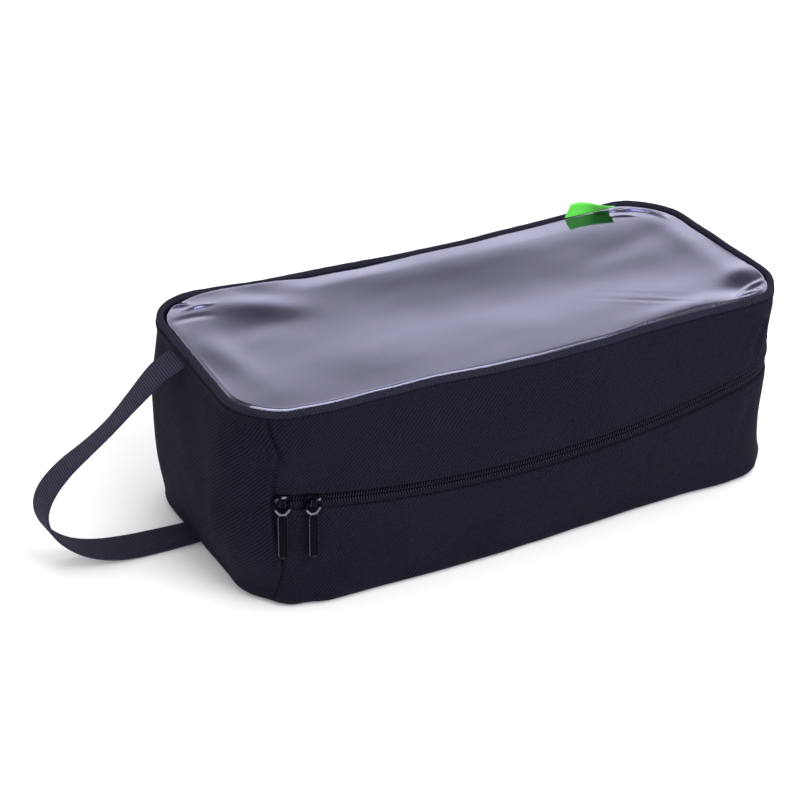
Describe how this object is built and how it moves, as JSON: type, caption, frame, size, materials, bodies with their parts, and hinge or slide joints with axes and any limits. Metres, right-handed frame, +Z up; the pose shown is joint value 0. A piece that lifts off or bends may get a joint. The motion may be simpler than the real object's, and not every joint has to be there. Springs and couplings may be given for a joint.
{
  "type": "shoe bag",
  "caption": "Soft rounded-box shoe bag in black woven fabric with a clear window lid, piped rim, coil zip round three sides and a webbing carry loop on one end.",
  "frame": {"origin": "centre of the bag's body on the floor, without the carry loop", "axes": "+X away from the carry loop along the bag's length, -Y the side with the zip pulls, +Z up through the window"},
  "size_m": [0.4223, 0.1522, 0.1339],
  "materials": {
    "fabric": "black polyester twill with a faint navy cast, matt",
    "webbing": "black ribbed polyester webbing",
    "binding": "black woven binding tape",
    "zip_tape": "black knitted zip tape",
    "zip_coil": "black nylon coil, satin",
    "piping_cord": "white extruded filler cord",
    "clear_film": "clear glossy soft film",
    "slider": "gloss black enamel",
    "pull": "gloss black enamel",
    "label": "bright green satin ribbon"
  },
  "bodies": {
    "base": {"bottom_panel": "fabric", "lower_wall": "fabric", "end_panel_lower": "fabric", "bottom_seam_binding": "binding", "seam_binding_front_lower": "binding", "seam_binding_back_lower": "binding", "zip_tape_lower": "zip_tape", "zip_coil_lower": "zip_coil", "handle_strap": "webbing"},
    "lid": {"window_film": "clear_film", "piping_cover": "fabric", "piping_cord": "piping_cord", "upper_wall": "fabric", "end_panel_upper": "fabric", "seam_binding_front_upper": "binding", "seam_binding_back_upper": "binding", "zip_tape_upper": "zip_tape", "zip_coil_upper": "zip_coil", "side_label": "label"},
    "slider_left": {"slider_left_body": "slider", "slider_left_keeper": "slider"},
    "slider_right": {"slider_right_body": "slider", "slider_right_keeper": "slider"},
    "pull_left": {"pull_left": "pull"},
    "pull_right": {"pull_right": "pull"}
  },
  "joints": [
    {"name": "lid_open", "type": "hinge", "parent": "base", "child": "lid", "pos_m": [-0.169, 0, 0.07191], "axis": [0, -1, 0], "range_deg": [0, 110], "deforming": ["handle_strap"]},
    {"name": "slider_left_travel", "type": "hinge", "parent": "base", "child": "slider_left", "pos_m": [-0.13678, -0.04034, 0.07132], "axis": [0.1381, -0.0454, 0.9894], "range_deg": [0, 7.8]},
    {"name": "slider_right_travel", "type": "hinge", "parent": "base", "child": "slider_right", "pos_m": [-0.00654, 0.11961, 0.71139], "axis": [-0.0029, -0.9576, 0.288], "range_deg": [0, 22.4]},
    {"name": "pull_left_lift", "type": "hinge", "parent": "slider_left", "child": "pull_left", "pos_m": [-0.14788, -0.07406, 0.07132], "axis": [-0.9499, 0.3125, 0], "range_deg": [0, 165]},
    {"name": "pull_right_lift", "type": "hinge", "parent": "slider_right", "child": "pull_right", "pos_m": [-0.13127, -0.07614, 0.06855], "axis": [-0.9984, 0.0561, 0], "range_deg": [0, 165]}
  ]
}
